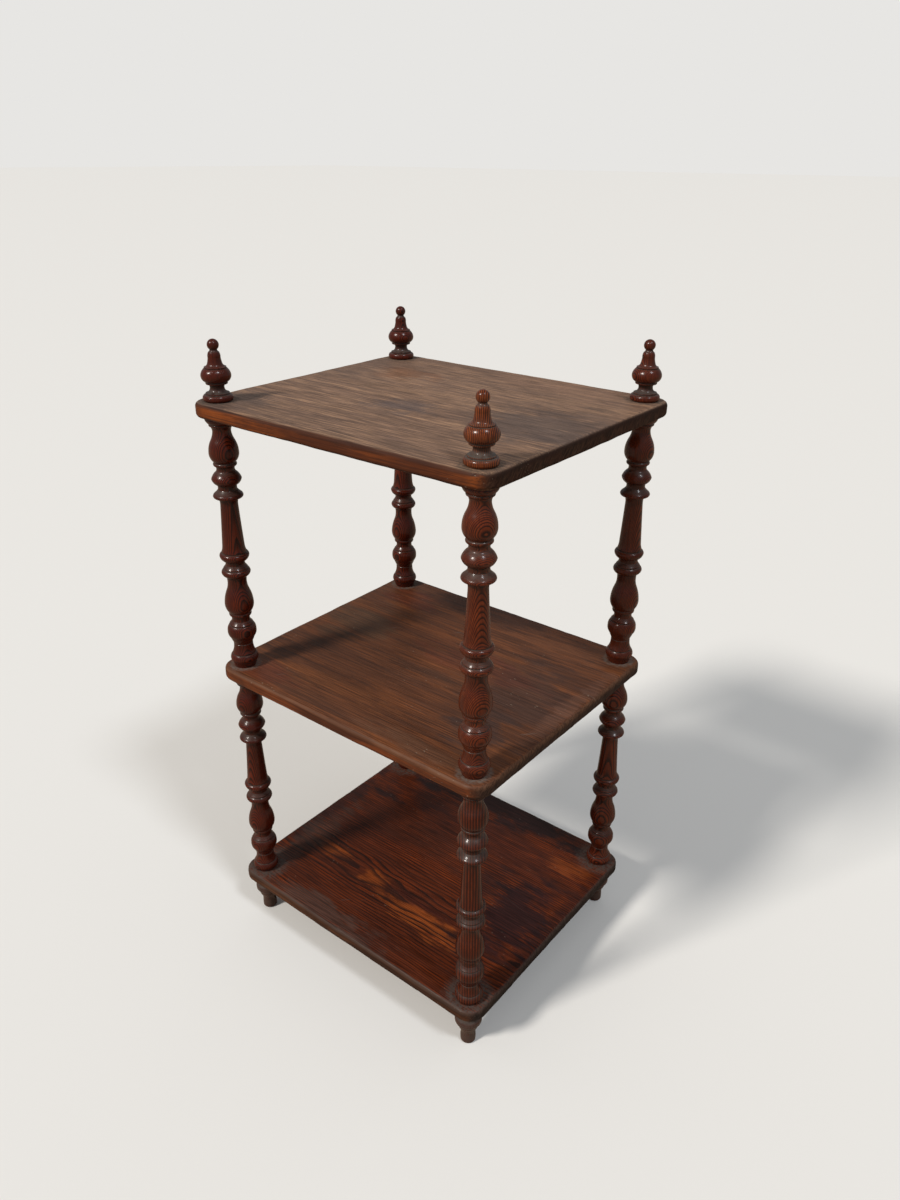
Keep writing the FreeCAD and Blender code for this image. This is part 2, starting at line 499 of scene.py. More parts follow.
@dataclass(frozen=True)
class BoardFinish:
    """Stain, figure and wear of one board.

    Attributes:
        heart: the log's heart, as its depth below the upper face, its side along Y and its tilt.
    """

    name: str
    early: Colour
    late: Colour
    band: Colour
    streak: Colour
    patch: Colour
    arris: Colour
    edge: Colour
    edge_bright: Colour
    end_grain: Colour
    ring_spacing: float
    ring_wander: float
    ring_strength: float
    heart: Point
    grain_stretch: float
    band_share: float
    streak_share: float
    patch_share: float
    roughness: float
    gloss_coat: float
    dust: Colour
    ring_dust_and_shade_share: float
    ring_dust_and_shade_reach: float = 0.009
    sheen: float = 0.16
    fineness: float = 1.0
    fleck: Colour = (0.36, 0.3, 0.23)
    blotches: tuple[Blotch, ...] = ()
    patch_size: float = 18.0
    rim_band: float = 0.012
    end_slant: float = math.radians(38)
    relief_depth: float = 0.00012

    def build(self, shape: BoardShape, effects: Effects) -> bpy.types.Material:
        """Make the material.

        Args:
            shape: the board that it goes on.
            effects: the shared node groups.

        Returns:
            The material.
        """
        material, bench, shader = new_material(self.name)
        wood = self._figured(bench, shape, effects)
        rings, fibre, patches = wood.rings, wood.fibre, wood.patches
        facing = bench.split(bench.node("ShaderNodeNewGeometry").outputs["Normal"])
        end_on = bench.step(bench.math("ABSOLUTE", facing["X"]), 0.3, 0.85)
        side_on = bench.step(bench.math("ABSOLUTE", facing["Y"]), 0.3, 0.75)
        upward = bench.step(facing["Z"], 0.5, 0.9)
        edges = bench.group(
            effects.edges,
            Vector=wood.place,
            Half_Length=shape.half_length,
            Half_Depth=shape.half_depth,
            Corner=shape.corner_radius,
            Band=self.rim_band,
            Post_X=shape.post_x,
            Post_Y=shape.post_y,
            Seat=shape.seat_radius,
            Spread=self.ring_dust_and_shade_reach,
        )

        colour = self._blotched(wood, effects, self._clean_wood(wood), under=True)
        colour = self._blotched(wood, effects, self._lined(wood, colour), under=False)
        colour = bench.lay(colour, (patches["Patch"], self.patch_share, self.patch))
        colour = bench.mix(1.0, colour, bench.step(fibre["Fibre"], 0.0, 1.0, 0.66, 1.34), "MULTIPLY")
        colour = bench.lay(colour, (edges["Rim"], 0.45, self.patch))
        colour = bench.mix(side_on, colour, self._edge_wood(wood, shape))
        colour = bench.mix(end_on, colour, self._end_wood(wood, shape))
        # Dust in a ring round the foot of each post; on the top board its dark colour also paints shade
        # round the finials.
        post_ring_dust_and_shade = bench.times(edges["Post"], bench.times(upward, self.ring_dust_and_shade_share))
        colour = bench.lay(
            colour,
            (fibre["Pore"], 0.5, shaded(self.late, 0.35)),
            (patches["Scratch"], 0.3, self.dust),
            (patches["Spot"], 0.3, self.patch),
            (patches["Fleck"], 0.85, self.fleck),
        )
        rough = bench.total(
            self.roughness, (fibre["Fibre"], 0.08), (patches["Patch"], 0.1), (end_on, 0.25), (post_ring_dust_and_shade, 0.3)
        )
        bench.fill(
            shader,
            Base_Color=bench.mix(post_ring_dust_and_shade, colour, self.dust),
            Roughness=bench.math("MINIMUM", rough, 1.0),
            Coat_Weight=self.gloss_coat,
            Coat_Roughness=0.3,
            Specular_IOR_Level=self.sheen,
        )
        rough_end = bench.times(end_on, bench.noise(wood.place, scale=500.0, detail=4.0, rough=0.7))
        relief = bench.total(
            0.0,
            (rings["Late"], 0.35 * self.ring_strength),
            (fibre["Fibre"], 0.4),
            (fibre["Pore"], -0.8),
            (patches["Scratch"], -0.6),
            (rough_end, 2.5),
        )
        bench.emboss(shader, relief, self.relief_depth)
        return material

    def _figured(self, bench: NodeBench, shape: BoardShape, effects: Effects) -> Timber:
        """Lay the board in its log, with the heart below its upper face.

        Args:
            bench: the material's nodes.
            shape: the board.
            effects: the shared node groups.

        Returns:
            The wood.
        """
        depth, side, tilt = self.heart
        place = bench.node("ShaderNodeTexCoord").outputs["Object"]
        log = bench.mapped(
            place,
            turn=(tilt * 0.5, math.radians(90) + tilt, 0.0),
            shift=(-shape.top - depth, -side, 0.0),
            scale=(1.0 / self.grain_stretch, 1.0, 1.0),
        )
        drawn_out = bench.vector("MULTIPLY", place, (0.3, 1.0, 1.0))
        rings = bench.group(
            effects.rings, Vector=log, Spacing=self.ring_spacing, Wander=self.ring_wander
        )
        fibre = bench.group(effects.fibre, Vector=log, Fineness=self.fineness)
        patches = bench.group(effects.patches, Vector=drawn_out, Size=self.patch_size)
        return Timber(bench, place, rings, fibre, patches)

    def _clean_wood(self, wood: Timber) -> Socket:
        """Colour the wood between its growth lines, in bands and streaks.

        Args:
            wood: the material's wood.

        Returns:
            The colour.
        """
        bands = (wood.fibre["Band"], self.band_share, self.band)
        streaks = (wood.fibre["Streak"], self.streak_share, self.streak)
        years = (wood.rings["Year"], self.ring_strength * 0.4, self.streak)
        return wood.bench.lay(self.early, bands, streaks, years)

    def _lined(self, wood: Timber, colour: Socket) -> Socket:
        """Draw the dark growth lines, fainter in the dark bands.

        Args:
            wood: the material's wood.
            colour: the wood so far.

        Returns:
            The colour.
        """
        uneven = wood.bench.total(1.0, (wood.fibre["Band"], -0.25))
        lines = wood.bench.times(wood.rings["Late"], self.ring_strength)
        return wood.bench.lay(colour, (lines, uneven, self.late))

    def _blotched(self, wood: Timber, effects: Effects, colour: Socket, under: bool) -> Socket:
        """Lay the blotches that belong under or over the growth lines.

        Args:
            wood: the material's wood.
            effects: the shared node groups.
            colour: the wood so far.
            under: which of the blotches to lay.

        Returns:
            The colour.
        """
        for blotch in self.blotches:
            if blotch.under_lines is under:
                centre, reach = (blotch.x, blotch.y, 0.0), (blotch.reach_x, blotch.reach_y, 1.0)
                spot = wood.bench.group(effects.blotch, Vector=wood.place, Centre=centre, Reach=reach)
                colour = wood.bench.lay(colour, (spot["Mask"], blotch.share, blotch.colour))
        return colour

    def _edge_wood(self, wood: Timber, shape: BoardShape) -> Socket:
        """Colour the long edges: rubbed bright in patches, with the arris its own colour, which on the top
        board is dark painted shade on the rounding.

        Args:
            wood: the material's wood.
            shape: the board.

        Returns:
            The colour.
        """
        bench, patch = wood.bench, wood.patches["Patch"]
        wavy = bench.times(bench.minus(wood.fibre["Band"], 0.5), 0.004)
        level = bench.plus(bench.split(wood.place)["Z"], wavy)
        above_base = bench.step(level, shape.base, shape.base + 0.004)
        at_arris = bench.step(level, shape.top - 0.0065, shape.top - 0.003)
        return bench.lay(
            self.edge,
            (above_base, bench.step(patch, 0.0, 1.0, 0.95, 0.2), self.edge_bright),
            (wood.fibre["Streak"], 0.6, self.edge),
            (at_arris, bench.step(patch, 0.0, 1.0, 0.95, 0.5), self.arris),
        )

    def _end_wood(self, wood: Timber, shape: BoardShape) -> Socket:
        """Colour the end grain: dark, with short slanted flecks and a rubbed arris; on the top board the
        arris is dark painted shade.

        Args:
            wood: the material's wood.
            shape: the board.

        Returns:
            The colour.
        """
        bench, place = wood.bench, wood.place
        slanted = bench.mapped(place, turn=(self.end_slant, 0.0, 0.0))
        drawn_out = bench.vector("MULTIPLY", slanted, (1.0, 1.0, 0.2))
        fleck = bench.noise(drawn_out, scale=480.0, detail=4.0, rough=0.7)
        worn = bench.step(bench.noise(place, scale=60.0, detail=3.0, rough=0.6), 0.35, 0.65)
        dark, light = shaded(self.end_grain, 0.5), shaded(self.end_grain, 1.9)
        at_arris = bench.step(bench.split(place)["Z"], shape.top - 0.009, shape.top - 0.002)
        return bench.lay(
            bench.mix(bench.step(fleck, 0.4, 0.62), dark, light),
            (worn, 0.4, self.edge),
            (at_arris, bench.step(fleck, 0.4, 0.6, 0.35, 0.9), self.arris),
        )


@dataclass(frozen=True)
class TurnedCut:
    """How a turned piece lies in its log, and how much dust it has gathered.

    Attributes:
        facing: side on which the log's heart lies, as an angle about Z.
        lean: angle of the heart against the piece's axis.
        spacing: width of a year's growth.
        glow: share of bright stain in the early wood; on the front post it is also painted light, bright at
            the top and dim lower down.
        dark_share: how early in the year the late wood starts to darken.
        dusty: dust in the hollows that face up.
        ledge: dust on all that faces up.
        cove: dust deep in the coves.
        veil: dust all over the piece.
        heart: distance of the heart from the piece's axis.
    """

    facing: float
    lean: float
    spacing: float
    glow: float
    dark_share: float = 0.6
    dusty: float = 0.6
    ledge: float = 0.0
    cove: float = 0.2
    veil: float = 0.0
    heart: float = 0.09


@dataclass(frozen=True)
class TurnedFinish:
    """Varnished stain of the turned pieces, with grime and painted shade in the hollows."""

    early: Colour = (0.114, 0.0115, 0.003)
    late: Colour = (0.011, 0.002, 0.0015)
    bright: Colour = (0.4, 0.098, 0.022)
    grime_and_shade: Colour = (0.01, 0.006, 0.005)
    dust: Colour = (0.086, 0.07, 0.059)
    roughness: float = 0.2
    ring_wander: float = 0.005
    fineness: float = 1.6
    patch_size: float = 24.0
    lean_height: float = 0.45
    hollow_reach: float = 0.018
    relief_depth: float = 0.00007

    def build(
        self, name: str, axis: tuple[float, float], cut: TurnedCut, effects: Effects
    ) -> bpy.types.Material:
        """Make the material of one turned piece.

        Args:
            name: the material's name.
            axis: the piece's axis, as x and y.
            cut: how the piece lies in its log.
            effects: the shared node groups.

        Returns:
            The material.
        """
        material, bench, shader = new_material(name)
        place = bench.node("ShaderNodeTexCoord").outputs["Object"]
        turn = Matrix.Rotation(cut.lean, 3, "Y") @ Matrix.Rotation(-cut.facing, 3, "Z")
        shift = Vector((cut.heart, 0.0, 0.0)) - turn @ Vector((*axis, self.lean_height))
        log = bench.mapped(place, turn.to_euler(), shift)
        start = 0.9 - cut.dark_share
        rings = bench.group(
            effects.rings, Vector=log, Spacing=cut.spacing, Wander=self.ring_wander, Sharpness=start
        )
        fibre = bench.group(effects.fibre, Vector=log, Fineness=self.fineness)
        patches = bench.group(effects.patches, Vector=log, Size=self.patch_size)

        dull = bench.mix(0.45, self.early, self.late)
        colour = bench.lay(
            bench.mix(cut.glow, self.early, self.bright),
            (fibre["Streak"], 0.45, dull),
            (rings["Year"], 0.35, dull),
            (rings["Late"], 0.92, self.late),
            (fibre["Fibre"], 0.3, self.late),
            (patches["Patch"], 0.3, self.late),
        )
        wood = Timber(bench, place, rings, fibre, patches)
        colour, settled = self._soiled(wood, cut, colour)
        rough = bench.total(
            self.roughness, (fibre["Fibre"], 0.08), (patches["Patch"], 0.08), (settled, 0.6)
        )
        bench.fill(
            shader,
            Base_Color=colour,
            Roughness=bench.math("MINIMUM", rough, 1.0),
            Coat_Weight=0.22,
            Coat_Roughness=0.13,
            Specular_IOR_Level=0.2,
        )
        ringed = bench.vector("MULTIPLY", place, (0.02, 0.02, 1.0))
        tool_marks = bench.noise(ringed, scale=1400.0, detail=2.0, rough=0.5)
        masks = (rings["Late"], tool_marks, fibre["Fibre"], patches["Scratch"])
        relief = bench.total(0.0, *zip(masks, (0.6, 0.35, 0.3, -0.8)))
        bench.emboss(shader, relief, self.relief_depth)
        return material

    def _soiled(self, wood: Timber, cut: TurnedCut, colour: Socket) -> tuple[Socket, Socket]:
        """Put grime and painted shade in the hollows and dust on the ledges.

        Args:
            wood: the material's wood.
            cut: how much dust there is.
            colour: the clean wood.

        Returns:
            The colour, and the mask of the dust that has settled.
        """
        bench, patches = wood.bench, wood.patches
        hollow = bench.node("ShaderNodeAmbientOcclusion", samples=8, only_local=True)
        bench.fill(hollow, Distance=self.hollow_reach)
        open_share = hollow.outputs["AO"]
        crease = bench.step(open_share, 0.68, 0.96, 1.0, 0.0)
        sheltered = bench.step(open_share, 0.74, 0.98, 1.0, 0.0)
        uneven = bench.total(0.4, (patches["Patch"], 0.6))
        # The creases go near-black: partly grime, partly painted shade that deepens the hollows.
        colour = bench.lay(colour, (crease, 0.85, self.grime_and_shade), (uneven, cut.veil, self.dust))
        rise = bench.split(bench.node("ShaderNodeNewGeometry").outputs["Normal"])["Z"]
        ledge = bench.times(bench.step(rise, 0.25, 0.7), cut.ledge)
        settled = bench.times(bench.times(bench.step(rise, -0.05, 0.5), sheltered), cut.dusty)
        settled = bench.math("MAXIMUM", settled, bench.times(crease, cut.cove))
        crumbs = bench.noise(wood.place, scale=220.0, detail=4.0, rough=0.65)
        broken = bench.step(crumbs, 0.3, 0.55, 0.3, 1.0)
        settled = bench.times(bench.math("MAXIMUM", settled, ledge), broken)
        colour = bench.mix(settled, colour, self.dust)
        return bench.lay(colour, (patches["Spot"], 0.4, self.grime_and_shade)), settled


# --- Pieces ---


@dataclass
class WornBoard:
    """A board with rounded corners, arrises softened and dented by use, and pin holes.

    Attributes:
        posts: the posts' distances from the middle, along X and Y.
        shape: sizes of the solid that the board stands for.
        board: the board's object, once it's built.
    """

    node_name: str
    finish: BoardFinish
    wear_seed: float
    posts: tuple[float, float]
    corner_segments: int = 14
    arris_segments: int = 7
    drill_sides: int = 48
    outline_step: float = 0.003
    side_cuts: int = 4
    face_insets: tuple[float, ...] = (0.001, 0.0015, 0.002, 0.003, 0.003)
    wear_band: float = 0.01
    wear_depth: float = 0.0006
    smooth_angle: float = math.radians(32)
    shape: BoardShape = field(init=False)
    board: bpy.types.Object = field(init=False)

    def __post_init__(self) -> None:
        """Read the board's size from its solid."""
        low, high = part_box(self.node_name)
        self.shape = BoardShape((high.x - low.x) / 2, (high.y - low.y) / 2, low.z, high.z, *self.posts)

    def build(self, effects: Effects) -> None:
        """Model the board, dress it and let it stand for its solid.

        Args:
            effects: the shared node groups.
        """
        self._rough_out()
        self._divide_outline()
        self._step_in_faces()
        self._wear()
        self._drill()
        bpy.ops.object.shade_smooth_by_angle(angle=self.smooth_angle)
        board = self.board
        board.data.materials.append(self.finish.build(self.shape, effects))
        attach(board, ROOT_BODY)
        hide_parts(self.node_name)
        LOG.info("%s: %d faces", board.name, len(board.data.polygons))

    def _rough_out(self) -> None:
        """Make the blank with its round corners and arrises, alone selected."""
        shape = self.shape
        middle = (0.0, 0.0, (shape.base + shape.top) / 2)
        size = (2 * shape.half_length, 2 * shape.half_depth, shape.top - shape.base)
        bpy.ops.mesh.primitive_cube_add(size=1.0, location=middle, scale=size)
        self.board = bpy.context.object
        self.board.name = "worn_" + self.node_name
        bpy.ops.object.transform_apply()
        for radius, segments, wanted in (
            (shape.corner_radius, self.corner_segments, lambda a, b: abs(a.z - b.z) > 0.001),
            (shape.arris_radius, self.arris_segments, self._on_outline),
        ):
            self._pick("EDGE", wanted)
            bpy.ops.mesh.bevel(offset=radius, segments=segments, affect="EDGES")
            bpy.ops.object.mode_set(mode="OBJECT")

    def _divide_outline(self) -> None:
        """Divide the long runs of the edge, so that they can take wear."""
        shape = self.shape
        across = int(2 * (shape.half_length - shape.corner_radius) / self.outline_step)
        deep = int(2 * (shape.half_depth - shape.corner_radius) / self.outline_step)
        for cuts, wanted in (
            (across, lambda a, b: abs(a.x - b.x) > 0.1),
            (deep, lambda a, b: abs(a.y - b.y) > 0.1),
            (self.side_cuts, lambda a, b: abs(a.z - b.z) > 2 * shape.arris_radius),
        ):
            self._pick("EDGE", wanted)
            bpy.ops.mesh.subdivide(number_cuts=cuts)
            bpy.ops.object.mode_set(mode="OBJECT")

    def _step_in_faces(self) -> None:
        """Inset the two big faces in steps, for wear that fades inwards."""
        corners_of_rounds = 4 * self.corner_segments
        self._pick("FACE", lambda *corners: len(corners) > corners_of_rounds)
        for thickness in self.face_insets:
            bpy.ops.mesh.inset(thickness=thickness)
        bpy.ops.object.mode_set(mode="OBJECT")

    def _wear(self) -> None:
        """Rub down and dent the edges, always inwards."""
        group = self.board.vertex_groups.new(name="wear")
        for vertex in self.board.data.vertices:
            weight = 1.0 - min(1.0, max(0.0, self._inset(vertex.co)) / self.wear_band)
            group.add([vertex.index], weight, "REPLACE")
        # Name, size of the pattern, levels where the wear starts and is full, depth
        passes = (
            ("rubbed", 0.045, 0.35, 0.7, self.wear_depth),
            ("uneven", 0.014, 0.3, 0.7, self.wear_depth * 0.3),
            ("dents", 0.012, 0.17, 0.28, self.wear_depth),
        )
        # An empty shifts the patterns, so that no two boards match
        anchor = bpy.data.objects.new(self.node_name + "_anchor", None)
        bpy.context.scene.collection.objects.link(anchor)
        anchor.location = (self.wear_seed, -self.wear_seed, self.wear_seed * 0.5)
        bpy.context.view_layer.update()
        for name, size, low, high, depth in passes:
            texture = bpy.data.textures.new(f"{self.node_name}_{name}", "CLOUDS")
            texture.noise_scale = size
            texture.use_color_ramp = True
            for stop, place, level in zip(texture.color_ramp.elements, (low, high), (0.0, 1.0)):
                stop.position = place
                stop.color = (level, level, level, 1.0)
            worn = self.board.modifiers.new(name, "DISPLACE")
            worn.texture = texture
            worn.texture_coords = "OBJECT"
            worn.texture_coords_object = anchor
            worn.vertex_group = "wear"
            worn.mid_level = 1.0
            worn.strength = depth
            bpy.ops.object.modifier_apply(modifier=name)
        bpy.data.objects.remove(anchor)

    def _drill(self) -> None:
        """Drill the hole for each post's pin."""
        shape = self.shape
        for corner in Corner:
            bpy.ops.mesh.primitive_cylinder_add(
                vertices=self.drill_sides,
                radius=shape.hole_radius,
                depth=2 * (shape.top - shape.base),
                location=(*corner.at(*self.posts), (shape.base + shape.top) / 2),
            )
            bit = bpy.context.object
            bpy.ops.object.select_all(action="DESELECT")
            self.board.select_set(True)
            bpy.context.view_layer.objects.active = self.board
            hole = self.board.modifiers.new("hole", "BOOLEAN")
            hole.operation = "DIFFERENCE"
            hole.solver = "EXACT"
            hole.object = bit
            bpy.ops.object.modifier_apply(modifier="hole")
            bpy.data.objects.remove(bit)

    def _inset(self, point: Vector) -> float:
        """Tell how far a point lies inside the board's outline, seen from above.

        Args:
            point: the point.

        Returns:
            The distance in metres.
        """
        shape = self.shape
        past_x = max(abs(point.x) - (shape.half_length - shape.corner_radius), 0.0)
        past_y = max(abs(point.y) - (shape.half_depth - shape.corner_radius), 0.0)
        return shape.corner_radius - math.hypot(past_x, past_y)

    def _on_outline(self, first: Vector, second: Vector) -> bool:
        """Tell whether an edge runs level along the outline, given its ends."""
        return abs(first.z - second.z) < 1e-6 and self._inset(first) < 1e-4

    def _pick(self, kind: str, wanted: Callable[..., bool]) -> None:
        """Go into edit mode with only some edges or faces selected.

        Args:
            kind: EDGE or FACE.
            wanted: test of an edge or face by its corners.
        """
        bpy.ops.object.mode_set(mode="EDIT")
        bpy.ops.mesh.select_mode(type=kind)
        bpy.ops.mesh.select_all(action="DESELECT")
        bpy.ops.object.mode_set(mode="OBJECT")
        mesh = self.board.data
        points = [vertex.co for vertex in mesh.vertices]
        for item in mesh.edges if kind == "EDGE" else mesh.polygons:
            item.select = wanted(*(points[index] for index in item.vertices))
        bpy.ops.object.mode_set(mode="EDIT")


@dataclass
class TurnedPost:
    """The turned pieces of one corner, each dressed with its own cut of pine."""

    corner: Corner
    axis: tuple[float, float]
    cuts: dict[Turning, TurnedCut]
    finish: TurnedFinish

    def dress(self, nodes: dict[str, bpy.types.Object], effects: Effects) -> None:
        """Give each piece of the post its material.

        Args:
            nodes: the solids by name.
            effects: the shared node groups.
        """
        for turning, cut in self.cuts.items():
            name = f"{turning.value}_{self.corner.label}"
            material = self.finish.build("varnished_" + name, self.axis, cut, effects)
            mesh = nodes[name].data
            mesh.materials.clear()
            mesh.materials.append(material)
            LOG.info("%s: %d faces", name, len(mesh.polygons))


# --- Room and camera ---


@dataclass
class Studio:
    """Pale floor, plain soft lamps and the camera."""

    floor_size: float = 120.0
    floor_bounce: Colour = (0.34, 0.27, 0.2)
    floor_roughness: float = 0.85
    backdrop: Colour = (0.8, 0.79, 0.77)
    even_light: Colour = (0.3, 0.3, 0.3)
    lamp_spread: float = math.radians(10)
    camera_place: Point = (0.7055, -0.8617, 1.0792)
    camera_aim: Point = (-0.0161, 0.0572, 0.5092)
    camera_roll: float = math.radians(0.4844)
    camera_lens: float = 27.55
    sensor_width: float = 36.0

    def build(self) -> None:
        """Set up the floor, the lamps and the camera."""
        self._floor()
        self._world()
        self._lamp("key", (-0.5, -1.5, 1.4), 2.5, (1.0, 0.95, 0.88))
        self._lamp("fill", (1.5, -0.3, 2.2), 0.9, (0.9, 0.95, 1.0))
        self._camera()
        bpy.context.scene.view_settings.view_transform = "Standard"

    def _floor(self) -> None:
        """Lay the floor, which holds the shadow."""
        bpy.ops.mesh.primitive_plane_add(size=self.floor_size, location=(0.0, 0.0, 0.0))
        floor = bpy.context.object
        floor.name = "floor"
        material, bench, shader = new_material("pale_floor")
        seen = bench.node("ShaderNodeLightPath").outputs["Is Camera Ray"]
        colour = bench.mix(seen, self.floor_bounce, self.backdrop)
        bench.fill(shader, Base_Color=colour, Roughness=self.floor_roughness)
        floor.data.materials.append(material)

    def _world(self) -> None:
        """Give a plain even surround, pale where the camera sees it."""
        world = bpy.data.worlds.new("surround")
        bpy.context.scene.world = world
        world.use_nodes = True
        bench = NodeBench(world.node_tree)
        seen = bench.node("ShaderNodeLightPath").outputs["Is Camera Ray"]
        background = world.node_tree.nodes["Background"]
        bench.fill(background, Color=bench.mix(seen, self.even_light, self.backdrop))

    def _lamp(self, name: str, place: Point, power: float, colour: Colour) -> None:
        """Hang one soft distant lamp.

        Args:
            name: the lamp's name.
            place: the side that it shines from.
            power: its strength.
            colour: its light.
        """
        light = bpy.data.lights.new(name, "SUN")
        light.angle = self.lamp_spread
        light.energy = power
        light.color = colour
        lamp = bpy.data.objects.new(name, light)
        lamp.location = place
        lamp.rotation_euler = (-Vector(place)).to_track_quat("-Z", "Y").to_euler()
        bpy.context.scene.collection.objects.link(lamp)

    def _camera(self) -> None:
        """Place the camera, level but for a slight roll."""
        lens = bpy.data.cameras.new("camera")
        lens.lens = self.camera_lens
        lens.sensor_width = self.sensor_width
        camera = bpy.data.objects.new("camera", lens)
        sight = Vector(self.camera_aim) - Vector(self.camera_place)
        turn = sight.to_track_quat("-Z", "Y").to_matrix() @ Matrix.Rotation(self.camera_roll, 3, "Z")
        camera.matrix_world = Matrix.Translation(self.camera_place) @ turn.to_4x4()
        bpy.context.scene.collection.objects.link(camera)
        bpy.context.scene.camera = camera


# --- The whole ---

GREY = (0.085, 0.062, 0.055)
BLACK = (0.012, 0.008, 0.009)
SCUFFED_GREY = (0.065, 0.043, 0.035)
RED = (0.13, 0.032, 0.016)
ORANGE = (0.3, 0.066, 0.009)

TOP_FINISH = BoardFinish(
    name="dry_grey_top",
    early=(0.34, 0.2, 0.122),
    late=(0.1, 0.055, 0.04),
    band=(0.19, 0.115, 0.08),
    streak=(0.13, 0.08, 0.06),
    patch=(0.085, 0.055, 0.045),
    # Dark arris colour: painted shade on the rounding of the upper edge.
    arris=(0.022, 0.009, 0.006),
    edge=(0.045, 0.013, 0.007),
    edge_bright=(0.25, 0.062, 0.012),
    end_grain=(0.034, 0.0165, 0.0095),
    ring_spacing=0.0028,
    ring_wander=0.012,
    ring_strength=0.35,
    heart=(0.12, -0.06, 0.02),
    band_share=0.7,
    streak_share=0.8,
    patch_share=0.3,
    roughness=0.5,
    gloss_coat=0.0,
    fineness=1.5,
    grain_stretch=1.7,
    # Dark dust colour, which in the ring round each finial's foot is also painted shade.
    dust=(0.07, 0.055, 0.045),
    ring_dust_and_shade_share=0.7,
    blotches=(
        Blotch(-0.13, 0.09, 0.06, 0.035, (0.2, 0.075, 0.03), 0.4),
        Blotch(0.17, -0.01, 0.12, 0.09, GREY, 0.7),
        Blotch(-0.01, -0.045, 0.05, 0.035, (0.08, 0.065, 0.068), 0.6),
        Blotch(-0.19, 0.07, 0.05, 0.1, GREY, 0.28),
        Blotch(-0.18, -0.15, 0.07, 0.05, GREY, 0.55),
        Blotch(0.1, 0.155, 0.15, 0.04, (0.3, 0.17, 0.11), 0.4),
    ),
)
MIDDLE_FINISH = BoardFinish(
    name="worn_brown_middle",
    early=(0.185, 0.06, 0.02),
    late=(0.05, 0.02, 0.012),
    band=(0.085, 0.032, 0.016),
    streak=(0.075, 0.033, 0.02),
    patch=(0.038, 0.02, 0.016),
    arris=(0.14, 0.064, 0.034),
    edge=(0.04, 0.014, 0.008),
    edge_bright=(0.2, 0.05, 0.013),
    end_grain=(0.038, 0.021, 0.014),
    ring_spacing=0.0035,
    ring_wander=0.016,
    ring_strength=0.35,
    heart=(0.16, 0.05, -0.02),
    band_share=0.65,
    streak_share=0.5,
    patch_share=0.36,
    roughness=0.42,
    gloss_coat=0.02,
    fineness=1.3,
    grain_stretch=2.6,
    dust=(0.14, 0.12, 0.105),
    ring_dust_and_shade_share=0.7,
    ring_dust_and_shade_reach=0.006,
    blotches=(
        Blotch(-0.15, 0.13, 0.06, 0.03, RED, 0.6),
        Blotch(0.13, 0.14, 0.09, 0.02, (0.19, 0.07, 0.03), 0.4),
        Blotch(0.15, -0.1, 0.045, 0.05, (0.05, 0.03, 0.026), 0.6),
        Blotch(0.15, 0.0, 0.08, 0.11, (0.05, 0.029, 0.024), 0.65),
        Blotch(0.05, 0.03, 0.1, 0.04, RED, 0.4),
        Blotch(-0.16, 0.03, 0.07, 0.07, (0.09, 0.055, 0.032), 0.5),
        Blotch(-0.06, -0.13, 0.13, 0.02, (0.21, 0.07, 0.022), 0.45),
        Blotch(0.0, -0.03, 0.12, 0.012, (0.045, 0.024, 0.017), 0.5),
        Blotch(-0.17, -0.17, 0.07, 0.03, RED, 0.6),
        Blotch(-0.02, 0.17, 0.14, 0.03, BLACK, 0.45),
        Blotch(-0.11, -0.11, 0.1, 0.012, BLACK, 0.4),
        Blotch(0.12, -0.17, 0.11, 0.018, (0.13, 0.062, 0.035), 0.5),
        Blotch(0.212, 0.02, 0.014, 0.15, (0.15, 0.07, 0.045), 0.55),
    ),
)
BOTTOM_FINISH = BoardFinish(
    name="red_figured_bottom",
    early=(0.165, 0.028, 0.004),
    late=(0.016, 0.006, 0.004),
    band=(0.07, 0.016, 0.006),
    streak=(0.05, 0.012, 0.006),
    patch=(0.022, 0.01, 0.009),
    arris=(0.062, 0.038, 0.029),
    edge=(0.022, 0.009, 0.006),
    edge_bright=(0.1, 0.034, 0.014),
    end_grain=(0.02, 0.013, 0.011),
    ring_spacing=0.0033,
    ring_wander=0.017,
    ring_strength=1.0,
    heart=(0.055, -0.085, 0.012),
    band_share=0.6,
    streak_share=0.35,
    patch_share=0.35,
    roughness=0.34,
    gloss_coat=0.05,
    sheen=0.11,
    grain_stretch=1.4,
    fleck=(0.17, 0.13, 0.1),
    dust=(0.07, 0.055, 0.048),
    ring_dust_and_shade_share=0.85,
    ring_dust_and_shade_reach=0.017,
    blotches=(
        Blotch(-0.02, 0.17, 0.22, 0.035, BLACK, 0.85),
        Blotch(0.165, -0.03, 0.055, 0.12, (0.018, 0.008, 0.009), 0.85),
        Blotch(0.05, 0.1, 0.17, 0.04, (0.026, 0.009, 0.008), 0.4),
        Blotch(0.218, 0.0, 0.016, 0.17, BLACK, 0.45),
        Blotch(0.055, -0.083, 0.085, 0.007, (0.045, 0.008, 0.004), 0.75),
        Blotch(-0.161, 0.078, 0.05, 0.008, BLACK, 0.8),
        Blotch(-0.215, 0.0, 0.02, 0.16, BLACK, 0.6),
        Blotch(0.1, 0.02, 0.03, 0.05, BLACK, 0.45),
        Blotch(-0.08, -0.18, 0.17, 0.02, SCUFFED_GREY, 0.6),
        Blotch(-0.19, -0.08, 0.03, 0.1, SCUFFED_GREY, 0.5),
        Blotch(0.17, 0.12, 0.04, 0.02, ORANGE, 0.35),
        Blotch(-0.14, -0.08, 0.045, 0.018, ORANGE, 0.8, True),
        Blotch(-0.045, -0.083, 0.025, 0.018, ORANGE, 0.7, True),
        Blotch(0.075, -0.107, 0.12, 0.024, ORANGE, 0.85, True),
        Blotch(-0.06, 0.03, 0.18, 0.03, (0.06, 0.018, 0.01), 0.5, True),
        Blotch(-0.12, 0.115, 0.09, 0.03, BLACK, 0.4),
    ),
)
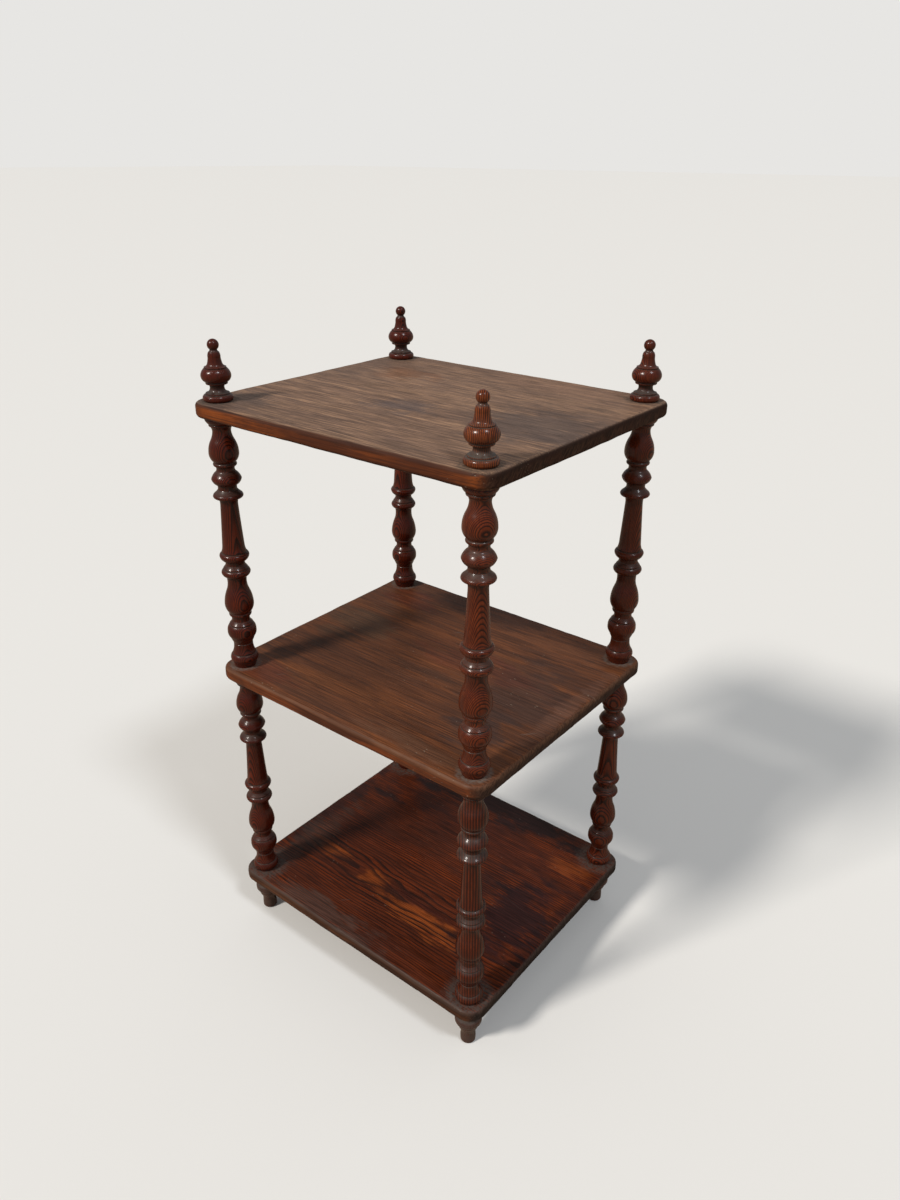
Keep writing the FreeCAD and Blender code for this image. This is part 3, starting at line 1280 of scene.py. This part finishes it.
# Cuts of the front right post, whose figure shows best, and of the feet. Besides the stain, the front
# post's glow and dark share paint light that falls off lower down: brightest on the finial, darkest on the
# lower spindle.
FRONT_CUTS = {
    Turning.UPPER_SPINDLE: TurnedCut(
        math.radians(-33), -0.1, 0.0012, 0.26, dark_share=0.55, dusty=0.7, cove=0.3
    ),
    Turning.LOWER_SPINDLE: TurnedCut(
        math.radians(38), 0.012, 0.0034, 0.22, dark_share=1.1, dusty=0.65, ledge=0.22, cove=0.25, heart=0.22
    ),
    Turning.FINIAL: TurnedCut(
        math.radians(30), 0.01, 0.0018, 0.85, dark_share=0.85, dusty=0.95, cove=0.3, heart=0.15
    ),
}
DUSTY_FOOT = TurnedCut(math.radians(200), 0.02, 0.002, 0.0, dusty=1.0, ledge=0.5, veil=0.5)


def log_cuts(corner: Corner) -> dict[Turning, TurnedCut]:
    """Choose how each turned piece of a corner lies in its log, each one differently.

    Args:
        corner: the corner.

    Returns:
        The cut by kind of piece.
    """
    order = list(Corner).index(corner)
    cuts = {}
    for index, turning in enumerate(Turning):
        facing = math.radians(40 + 97 * order + 61 * index)
        lean = 0.05 * ((order + 2 * index) % 3 - 1)
        spacing = 0.0013 + 0.0003 * ((2 * order + index) % 3)
        cuts[turning] = TurnedCut(facing, lean, spacing, 0.05 + 0.06 * (order % 3))
    cuts[Turning.FOOT] = DUSTY_FOOT
    return cuts | FRONT_CUTS if corner is Corner.FRONT_RIGHT else cuts


def main() -> None:
    """Build the whole whatnot and its studio."""
    logging.basicConfig(level=logging.INFO, format="%(name)s: %(message)s")
    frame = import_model()
    effects = Effects()

    low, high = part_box("finial_back_right")
    posts = ((low.x + high.x) / 2, (low.y + high.y) / 2)
    boards = (
        WornBoard("top_board", TOP_FINISH, 1.3, posts),
        WornBoard("middle_board", MIDDLE_FINISH, 4.7, posts),
        WornBoard("bottom_board", BOTTOM_FINISH, 8.1, posts),
    )
    for board in boards:
        board.build(effects)

    finish = TurnedFinish()
    for corner in Corner:
        post = TurnedPost(corner, corner.at(*posts), log_cuts(corner), finish)
        post.dress(frame["nodes"], effects)

    Studio().build()


if __name__ == "__main__":
    main()
